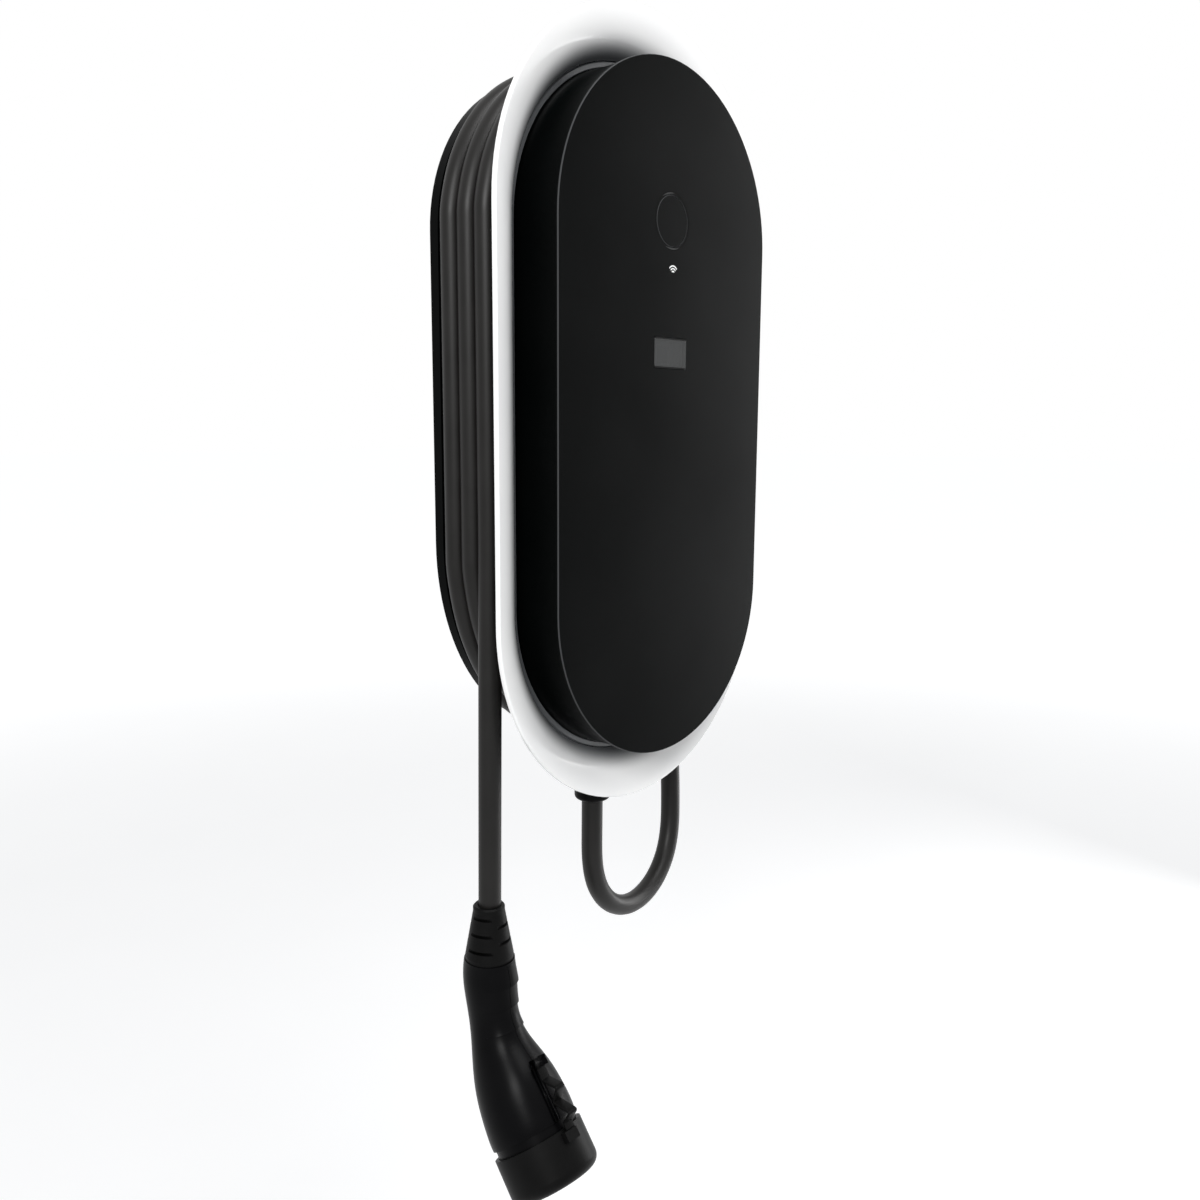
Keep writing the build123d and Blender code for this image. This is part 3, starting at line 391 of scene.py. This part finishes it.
# Circuit boards: glass-fibre epoxy under a green solder mask that shows the woven cloth 0.5 mm apart and
# the copper tracks as faint lighter lines 2.5 mm apart.
board_green = start_material("glass_epoxy_board_green")
place = add_node(board_green, "ShaderNodeTexCoord")
tracks = add_node(board_green, "ShaderNodeTexBrick",
                  {"Scale": 1 / 0.0025, "Color1": linear("14502f"), "Color2": linear("17583a"),
                   "Mortar": linear("2a7a50"), "Mortar Size": 0.03, "Brick Width": 3.0, "Row Height": 1.0})
turned = add_node(board_green, "ShaderNodeMapping", {"Rotation": (pi / 2, 0, 0)}, {"Vector": place.outputs["Object"]})
board_green.node_tree.links.new(turned.outputs["Vector"], tracks.inputs["Vector"])
cloth = add_node(board_green, "ShaderNodeTexNoise", {"Scale": 1 / 0.0005, "Detail": 2.0},
                 {"Vector": place.outputs["Object"]})
relief = add_node(board_green, "ShaderNodeBump", {"Strength": 0.2, "Distance": 0.00005},
                  {"Height": cloth.outputs["Fac"]})
shader = add_node(board_green, "ShaderNodeBsdfPrincipled", {"Roughness": 0.32, "IOR": 1.5},
                  {"Base Color": tracks.outputs["Color"], "Normal": relief.outputs["Normal"]})
add_node(board_green, "ShaderNodeOutputMaterial", links={"Surface": shader.outputs["BSDF"]})
finish_nodes(board_green, "control_board", "reader_board", "power_board")

# Metal pieces: screws, rail and cable clamp of zinc-plated steel, bright with a faint crystalline cloud,
# and contact sleeves of silver-plated brass, turned, so fine lines run round them.
for name, pale, deep, rough, grit, nodes in (
    ("zinc_plated_steel", "c9cccd", "b4b8ba", 0.30, 0.003,
     ("cover_screws", "board_screws", "grip_screws", "din_rail", "cable_clamp")),
    ("silver_plated_brass_turned", "dedcd6", "cfcbc0", 0.22, 0.0006, ("power_contacts", "signal_contacts")),
):
    metal = start_material(name)
    place = add_node(metal, "ShaderNodeTexCoord")
    crystals = add_node(metal, "ShaderNodeTexNoise", {"Scale": 1 / grit, "Detail": 4.0},
                        {"Vector": place.outputs["Object"]})
    shade = add_node(metal, "ShaderNodeValToRGB", links={"Fac": crystals.outputs["Fac"]})
    shade.color_ramp.elements[0].position, shade.color_ramp.elements[0].color = 0.35, linear(deep)
    shade.color_ramp.elements[1].position, shade.color_ramp.elements[1].color = 0.65, linear(pale)
    sheen = add_node(metal, "ShaderNodeMapRange", {"From Min": 0.3, "From Max": 0.7, "To Min": rough,
                                                   "To Max": rough + 0.1}, {"Value": crystals.outputs["Fac"]})
    shader = add_node(metal, "ShaderNodeBsdfPrincipled", {"Metallic": 1.0},
                      {"Base Color": shade.outputs["Color"], "Roughness": sheen.outputs["Result"]})
    add_node(metal, "ShaderNodeOutputMaterial", links={"Surface": shader.outputs["BSDF"]})
    finish_nodes(metal, *nodes)

# Reader sign: three arcs in white ink, pad-printed on the cover over the reader board where a card is
# held. The ink is 0.05 mm thick and fades a little where the pad lifted.
print_white = start_material("pad_printed_ink_white")
place = add_node(print_white, "ShaderNodeTexCoord")
pad = add_node(print_white, "ShaderNodeTexNoise", {"Scale": 1 / 0.0008, "Detail": 2.0},
               {"Vector": place.outputs["Object"]})
shade = add_node(print_white, "ShaderNodeValToRGB", links={"Fac": pad.outputs["Fac"]})
shade.color_ramp.elements[0].position, shade.color_ramp.elements[0].color = 0.3, linear("d4d6d5")
shade.color_ramp.elements[1].position, shade.color_ramp.elements[1].color = 0.6, linear("e9ebea")
shader = add_node(print_white, "ShaderNodeBsdfPrincipled", {"Roughness": 0.5, "IOR": 1.5},
                  {"Base Color": shade.outputs["Color"]})
add_node(print_white, "ShaderNodeOutputMaterial", links={"Surface": shader.outputs["BSDF"]})

sign_middle, ink = (0.0016, 0.1012), 0.00005
arc_sizes = ((0.0016, 0.0009), (0.0034, 0.0008), (0.0052, 0.0008))
arc_half_turn = radians(52)
arc_parts = 16
build = bmesh.new()
for radius, width in arc_sizes:
    last = None
    for n in range(arc_parts + 1):
        turn = pi / 2 - arc_half_turn + 2 * arc_half_turn * n / arc_parts
        ring = [build.verts.new((sign_middle[0] + r * cos(turn), cover_low.y - lift, sign_middle[1] + r * sin(turn)))
                for r, lift in ((radius - width / 2, -ink), (radius - width / 2, ink),
                                (radius + width / 2, ink), (radius + width / 2, -ink))]
        if last:
            for k in range(4):
                build.faces.new((last[k], ring[k], ring[k - 1], last[k - 1]))
        else:
            build.faces.new(ring)
        last = ring
    build.faces.new(last)
finish_mesh(build, "reader_sign", "cover", "root", print_white)

# Button gap: a flat ring 1.1 mm wide over the push button's edge, near-black as painted shade of the gap round it.
# Two short lighter crescents at the top and the bottom are painted highlight, where a chamfer would catch the light.
button_low, button_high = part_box("button_cap")
button_middle = ((button_low.x + button_high.x) / 2, (button_low.z + button_high.z) / 2)
edge_outer = button_high.x - button_middle[0] - 0.00005
edge_inner, edge_parts = edge_outer - 0.0011, 96
painted_gap_materials = []
# The near-black material is painted shade; the lighter one is painted highlight.
for name, dark, light, rough in (("painted_shade_button_gap", "020202", "040404", 0.8),
                                 ("painted_highlight_button_chamfer", "2b2c2c", "363737", 0.4)):
    painted_gap_material = start_material(name)
    place = add_node(painted_gap_material, "ShaderNodeTexCoord")
    grain = add_node(painted_gap_material, "ShaderNodeTexNoise", {"Scale": 1 / 0.0008, "Detail": 2.0},
                     {"Vector": place.outputs["Object"]})
    shade = add_node(painted_gap_material, "ShaderNodeValToRGB", links={"Fac": grain.outputs["Fac"]})
    shade.color_ramp.elements[0].color, shade.color_ramp.elements[1].color = linear(dark), linear(light)
    shader = add_node(painted_gap_material, "ShaderNodeBsdfPrincipled", {"Roughness": rough, "Specular IOR Level": 0.05},
                      {"Base Color": shade.outputs["Color"]})
    add_node(painted_gap_material, "ShaderNodeOutputMaterial", links={"Surface": shader.outputs["BSDF"]})
    painted_gap_materials.append(painted_gap_material)
build = bmesh.new()
# The whole ring in painted shade, then the two crescents in painted highlight.
for ring_inner, ring_outer, lift, turn_from, turn_to, slot in (
    (edge_inner, edge_outer, 0.00003, 0, 360, 0),
    (edge_inner - 0.0008, edge_inner + 0.0003, 0.00006, 82, 128, 1),
    (edge_inner - 0.0008, edge_inner + 0.0003, 0.00006, 246, 296, 1),
):
    last = first = None
    for n in range(edge_parts + 1):
        share = n / edge_parts
        turn = radians(turn_from + (turn_to - turn_from) * share)
        taper = 0.0 if slot == 0 else (ring_outer - ring_inner) * abs(2 * share - 1) ** 2
        pair = [build.verts.new((button_middle[0] + r * cos(turn), button_low.y - lift,
                                 button_middle[1] + r * sin(turn)))
                for r in (ring_inner + taper, ring_outer)]
        if last:
            face = build.faces.new((last[0], last[1], pair[1], pair[0]))
            face.material_index = slot
        last = pair
bmesh.ops.remove_doubles(build, verts=build.verts, dist=0.0000001)
finish_mesh(build, "button_gap_painted_shade", "button", "button", *painted_gap_materials)

# Hand connector: two grip halves and the front end, moulded from black glass-filled polyamide with a
# lightly polished face, closed by three screws over the cable clamp; the gland is the same polyamide.
grip_black = start_material("moulded_polyamide_black")
place = add_node(grip_black, "ShaderNodeTexCoord")
grain = add_node(grip_black, "ShaderNodeTexNoise", {"Scale": 1 / 0.0006, "Detail": 2.0},
                 {"Vector": place.outputs["Object"]})
flow = add_node(grip_black, "ShaderNodeTexNoise", {"Scale": 1 / 0.03, "Detail": 4.0},
                {"Vector": place.outputs["Object"]})
shade = add_node(grip_black, "ShaderNodeValToRGB", links={"Fac": flow.outputs["Fac"]})
shade.color_ramp.elements[0].position, shade.color_ramp.elements[0].color = 0.3, linear("030304")
shade.color_ramp.elements[1].position, shade.color_ramp.elements[1].color = 0.7, linear("060607")
polish = add_node(grip_black, "ShaderNodeMapRange", {"From Min": 0.3, "From Max": 0.7, "To Min": 0.30, "To Max": 0.36},
                  {"Value": flow.outputs["Fac"]})
erosion = add_node(grip_black, "ShaderNodeBump", {"Strength": 0.1, "Distance": 0.00005},
                   {"Height": grain.outputs["Fac"]})
shader = add_node(grip_black, "ShaderNodeBsdfPrincipled", {"IOR": 1.53, "Specular IOR Level": 0.05},
                  {"Base Color": shade.outputs["Color"], "Roughness": polish.outputs["Result"],
                   "Normal": erosion.outputs["Normal"]})
add_node(grip_black, "ShaderNodeOutputMaterial", links={"Surface": shader.outputs["BSDF"]})
finish_nodes(grip_black, "handle_left", "handle_right", "plug_shell", "gland_body", "gland_nut")

# Grip front: three finger ledges and the proud edge of each moulded half along the seam between them. They
# lie on the grip halves, follow their surface and run out into it at the sides.
handle_points, handle_faces = [], []
for name in ("handle_left", "handle_right"):
    shell = cad[name].data
    first = len(handle_points)
    handle_points += [vert.co.copy() for vert in shell.vertices]
    handle_faces += [[first + n for n in face.vertices] for face in shell.polygons]
handle_surface = BVHTree.FromPolygons(handle_points, handle_faces)
grip_stations = [(-0.0522, -0.3815, 0), (-0.0525, -0.3980, 2), (-0.0544, -0.4160, 9), (-0.0586, -0.4345, 18),
                 (-0.0664, -0.4520, 28), (-0.0797, -0.4725, 35), (-0.0897, -0.4872, 37), (-0.0959, -0.4965, 37)]
grip_x, grip_clear = -0.120, 0.036
ledge_count, ledge_height, seam_height, sunk, underside = 3, 0.0013, 0.0003, 0.0002, 0.0001
ledge_curve, ledge_lip, ledge_rows, top_ease = 1.6, 0.992, 18, 6
side_turn, seam_turn, side_steps, side_fade = 78, 0.6, 26, 52
sharp_turn = radians(38)


def between(start, end, share):
    """The station at this share of the way from one station to the next."""
    return [a + (b - a) * share for a, b in zip(start, end)]


grip_rows = []
for index, (start, end) in enumerate(zip(grip_stations, grip_stations[1:])):
    for n in range(ledge_rows):
        share = n / ledge_rows
        swell = ledge_height * share ** ledge_curve if index < ledge_count else 0.0
        edge = min(1.0, top_ease * share) if index == 0 else 1.0
        grip_rows.append((between(start, end, share), (seam_height + swell) * edge))
    if index < ledge_count:
        grip_rows.append((between(start, end, ledge_lip), seam_height + ledge_height))
grip_rows.append((list(grip_stations[-1]), 0.0))
build = bmesh.new()
for way in (-1, 1):
    last = None
    for (y, z, lean), height in grip_rows:
        middle = Vector((grip_x, y, z))
        forward = Vector((0, -cos(radians(lean)), sin(radians(lean))))
        outer, inner = [], []
        for n in range(side_steps + 1):
            share = n / side_steps
            turn = radians(seam_turn + (side_turn - seam_turn) * share) * way
            ray = Vector((sin(turn), 0, 0)) + forward * cos(turn)
            hit = handle_surface.ray_cast(middle + ray * grip_clear, -ray)[0]
            fade = max(0.0, min(1.0, (side_turn - abs(turn) * 180 / pi) / side_fade))
            fade = fade * fade * (3 - 2 * fade)
            outer.append(build.verts.new(hit + ray * ((height + sunk) * fade - sunk)))
            inner.append(build.verts.new(hit - ray * (2 * sunk + underside)))
        ring = outer + inner[::-1]
        if last:
            for k in range(len(ring)):
                build.faces.new((last[k], ring[k], ring[k - 1], last[k - 1])).smooth = True
        else:
            build.faces.new(ring)
        last = ring
    build.faces.new(last)
ledges = finish_mesh(build, "grip_finger_ledges", "grip", "root", grip_black)
ledges.data.set_sharp_from_angle(angle=sharp_turn)

# Soft pieces: bend protector, cap, seals and grommet, moulded from a matt black elastomer that picks up
# a little dust.
rubber_black = start_material("moulded_elastomer_matt_black")
place = add_node(rubber_black, "ShaderNodeTexCoord")
grain = add_node(rubber_black, "ShaderNodeTexNoise", {"Scale": 1 / 0.0008, "Detail": 3.0},
                 {"Vector": place.outputs["Object"]})
dust = add_node(rubber_black, "ShaderNodeTexNoise", {"Scale": 1 / 0.02, "Detail": 5.0, "Roughness": 0.65},
                {"Vector": place.outputs["Object"]})
shade = add_node(rubber_black, "ShaderNodeValToRGB", links={"Fac": dust.outputs["Fac"]})
shade.color_ramp.elements[0].position, shade.color_ramp.elements[0].color = 0.35, linear("080808")
shade.color_ramp.elements[1].position, shade.color_ramp.elements[1].color = 0.70, linear("0d0d0d")
erosion = add_node(rubber_black, "ShaderNodeBump", {"Strength": 0.2, "Distance": 0.00008},
                   {"Height": grain.outputs["Fac"]})
shader = add_node(rubber_black, "ShaderNodeBsdfPrincipled",
                  {"Roughness": 0.42, "IOR": 1.5, "Specular IOR Level": 0.06},
                  {"Base Color": shade.outputs["Color"], "Normal": erosion.outputs["Normal"]})
add_node(rubber_black, "ShaderNodeOutputMaterial", links={"Surface": shader.outputs["BSDF"]})
finish_nodes(rubber_black, "strain_relief", "plug_cap", "cap_strap", "gland_seal", "housing_seal",
             "supply_grommet", "button_spring")

# Cap strap: a band of the same elastomer, 8 mm wide and 1.8 mm thick, folded twice so that the cap can be
# pulled off. Its upper end is held by the grip and its lower end by the cap.
tilt = radians(37)
rim_middle = Vector((-0.120, -0.100, -0.502))
along_axis = Vector((0, -sin(tilt), -cos(tilt)))
off_axis = Vector((0, -cos(tilt), sin(tilt)))
strap_x, strap_half_width, strap_half_thick, fold_radius = -0.1185, 0.004, 0.0009, 0.0013
strap_places = [(-0.0440, 0.0337), (-0.0340, 0.0336), (-0.0260, 0.0449), (-0.0180, 0.0346), (-0.0080, 0.0466),
                (-0.0034, 0.0364), (0.0023, 0.0360)]
strap_line = [(Vector(strap_places[0]), (Vector(strap_places[1]) - Vector(strap_places[0])).normalized())]
for before, fold, after in zip(strap_places, strap_places[1:], strap_places[2:]):
    fold = Vector(fold)
    coming, going = (fold - Vector(before)).normalized(), (Vector(after) - fold).normalized()
    turn = coming.angle_signed(going)
    cut = min(fold_radius * abs(sin(turn / 2) / cos(turn / 2)), 0.003)
    for n in range(7):
        share = n / 6
        place_in_fold = (fold - coming * cut) * (1 - share) ** 2 + fold * 2 * share * (1 - share) + (
            fold + going * cut) * share ** 2
        strap_line.append((place_in_fold, (coming * (1 - share) + going * share).normalized()))
strap_line.append((Vector(strap_places[-1]), (Vector(strap_places[-1]) - Vector(strap_places[-2])).normalized()))
dense = [strap_line[0]]
for (spot, way), (next_spot, next_way) in zip(strap_line, strap_line[1:]):
    steps = max(1, round((next_spot - spot).length / 0.0012))
    dense += [(spot.lerp(next_spot, n / steps), way.lerp(next_way, n / steps).normalized())
              for n in range(1, steps + 1)]
build = bmesh.new()
edge_round = 0.0005
profile = []
for sx, sz, turn in ((1, 1, 0), (-1, 1, 1), (-1, -1, 2), (1, -1, 3)):
    for n in range(4):
        angle = (turn + n / 3) * pi / 2
        profile.append((sx * (strap_half_width - edge_round) + edge_round * cos(angle),
                        sz * (strap_half_thick - edge_round) + edge_round * sin(angle)))
last = None
for spot, way in dense:
    normal = Vector((-way.y, way.x))
    ring = []
    for wide, thick in profile:
        flat = spot + normal * thick
        ring.append(build.verts.new(rim_middle + along_axis * flat.x + off_axis * flat.y
                                    + Vector((strap_x - rim_middle.x + wide, 0, 0))))
    if last:
        for k in range(len(ring)):
            build.faces.new((last[k], ring[k], ring[k - 1], last[k - 1]))
    else:
        build.faces.new(ring)
    last = ring
build.faces.new(last)
for face in build.faces:
    face.smooth = len(face.verts) == 4
strap = finish_mesh(build, "cap_strap_band", "cap", None, rubber_black)
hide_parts("cap_strap")
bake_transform(strap)

# Strap anchor: the moulded eye on the grip that holds the strap's upper end, and the rib that guards the
# folded strap on its left. Both are rounded at every edge, as moulded polyamide is.
strap_anchor = (-0.1230, -0.1128, -0.0484, -0.0432, 0.0275, 0.0356)
strap_rib = (-0.1249, -0.1229, -0.0430, -0.0070, 0.0285, 0.0336)
moulded_round, round_steps = 0.0008, 4
build = bmesh.new()
for x_from, x_to, along_from, along_to, off_from, off_to in (strap_anchor, strap_rib):
    block = bmesh.ops.create_cube(build, size=1.0)["verts"]
    for vert in block:
        x, a, o = vert.co + Vector((0.5, 0.5, 0.5))
        vert.co = (Vector((x_from + (x_to - x_from) * x, rim_middle.y, rim_middle.z))
                   + along_axis * (along_from + (along_to - along_from) * a)
                   + off_axis * (off_from + (off_to - off_from) * o))
    edges = {edge for vert in block for edge in vert.link_edges}
    bmesh.ops.bevel(build, geom=list(edges), offset=moulded_round, segments=round_steps, profile=0.5,
                    affect="EDGES")
for face in build.faces:
    face.smooth = True
finish_mesh(build, "strap_anchor_and_rib", "grip", "root", grip_black)

# Button return ring: a silicone cone under the button.
spring_low, spring_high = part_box("button_spring")
ring_x, ring_z = (spring_low.x + spring_high.x) / 2, (spring_low.z + spring_high.z) / 2
ring_depth = spring_high.y - spring_low.y
ring_sides = 64
ring_profile = [(0.0095, 0.0), (0.0094, 0.16), (0.0080, 0.45), (0.0074, 0.75), (0.0074, 1.0),
                (0.0064, 1.0), (0.0064, 0.72), (0.0070, 0.42), (0.0075, 0.0)]
build = bmesh.new()
rings = []
for n in range(ring_sides):
    turn = 2 * pi * n / ring_sides
    rings.append([build.verts.new((ring_x + r * cos(turn), spring_low.y + ring_depth * deep, ring_z + r * sin(turn)))
                  for r, deep in ring_profile])
for n, ring in enumerate(rings):
    for k in range(len(ring)):
        build.faces.new((rings[n - 1][k], ring[k], ring[k - 1], rings[n - 1][k - 1])).smooth = True
spring = finish_mesh(build, "button_return_ring", "seal", "root", rubber_black)
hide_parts("button_spring")
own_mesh(spring)

# Studio: a pale floor far below the charger, where a wall charger's garage floor is, a white background
# that gloss and glass show too, and soft lamps.
floor_drop = -1.1
floor_mesh = bpy.data.meshes.new("studio_floor")
floor_mesh.from_pydata([(-40, -40, floor_drop), (40, -40, floor_drop), (40, 40, floor_drop), (-40, 40, floor_drop)],
                       [], [(0, 1, 2, 3)])
floor = bpy.data.objects.new("studio_floor", floor_mesh)
scene.collection.objects.link(floor)
floor_paint = start_material("painted_floor_pale")
world = bpy.data.worlds.new("studio_room")
world.use_nodes = True
world.node_tree.nodes.clear()
seen_by = {}
for space in (floor_paint, world):
    rays = add_node(space, "ShaderNodeLightPath")
    direct = add_node(space, "ShaderNodeMath", operation="MAXIMUM",
                      links={0: rays.outputs["Is Camera Ray"], 1: rays.outputs["Is Glossy Ray"]})
    seen_by[space.name] = add_node(
        space, "ShaderNodeMath", links={0: direct.outputs["Value"], 1: rays.outputs["Is Transmission Ray"]},
        operation="MAXIMUM")
speckle = add_node(floor_paint, "ShaderNodeTexNoise", {"Scale": 1 / 0.004, "Detail": 3.0})
shade = add_node(floor_paint, "ShaderNodeValToRGB", links={"Fac": speckle.outputs["Fac"]})
shade.color_ramp.elements[0].color, shade.color_ramp.elements[1].color = linear("f2f2f2"), linear("f6f6f6")
lit = add_node(floor_paint, "ShaderNodeBsdfDiffuse", links={"Color": shade.outputs["Color"]})
spot = add_node(floor_paint, "ShaderNodeTexCoord")
away = add_node(floor_paint, "ShaderNodeVectorMath", links={0: spot.outputs["Object"]}, operation="LENGTH")
lift = add_node(floor_paint, "ShaderNodeMapRange", {"From Min": 1.3, "From Max": 4.5, "To Min": 0.25, "To Max": 0.72},
                {"Value": away.outputs["Value"]}, clamp=True)
bright = add_node(floor_paint, "ShaderNodeEmission", {"Color": (1, 1, 1, 1)}, {"Strength": lift.outputs["Result"]})
raised = add_node(floor_paint, "ShaderNodeAddShader", links={0: lit.outputs["BSDF"], 1: bright.outputs["Emission"]})
mixed = add_node(floor_paint, "ShaderNodeMixShader", links={0: seen_by[floor_paint.name].outputs["Value"],
                                                           1: lit.outputs["BSDF"], 2: raised.outputs["Shader"]})
add_node(floor_paint, "ShaderNodeOutputMaterial", links={"Surface": mixed.outputs["Shader"]})
floor_mesh.materials.append(floor_paint)
room = add_node(world, "ShaderNodeBackground", {"Color": (0.95, 0.97, 1.0, 1), "Strength": 0.32})
backdrop = add_node(world, "ShaderNodeBackground", {"Color": (1, 1, 1, 1), "Strength": 1.0})
mixed = add_node(world, "ShaderNodeMixShader", links={0: seen_by[world.name].outputs["Value"],
                                                     1: room.outputs["Background"], 2: backdrop.outputs["Background"]})
add_node(world, "ShaderNodeOutputWorld", links={"Surface": mixed.outputs["Shader"]})
scene.world = world

for name, spot, target, power, width, height in (
    ("softbox_left", (-1.75, -0.95, 0.9), (0, -0.05, 0), 38, 0.8, 0.8),
    ("softbox_right", (2.0, -0.75, 0.1), (0, -0.1, 0), 26, 0.6, 2.0),
    ("softbox_above", (0.1, -1.1, 1.8), (0, -0.05, 0), 32, 1.4, 1.0),
):
    lamp_data = bpy.data.lights.new(name, "AREA")
    lamp_data.shape = "RECTANGLE"
    lamp_data.size, lamp_data.size_y, lamp_data.energy = width, height, power
    lamp = bpy.data.objects.new(name, lamp_data)
    lamp.location = spot
    lamp.rotation_euler = (Vector(target) - Vector(spot)).to_track_quat("-Z", "Y").to_euler()
    scene.collection.objects.link(lamp)

scene.view_settings.view_transform = "Standard"

# The view layer is brought up to date.
bpy.context.view_layer.update()
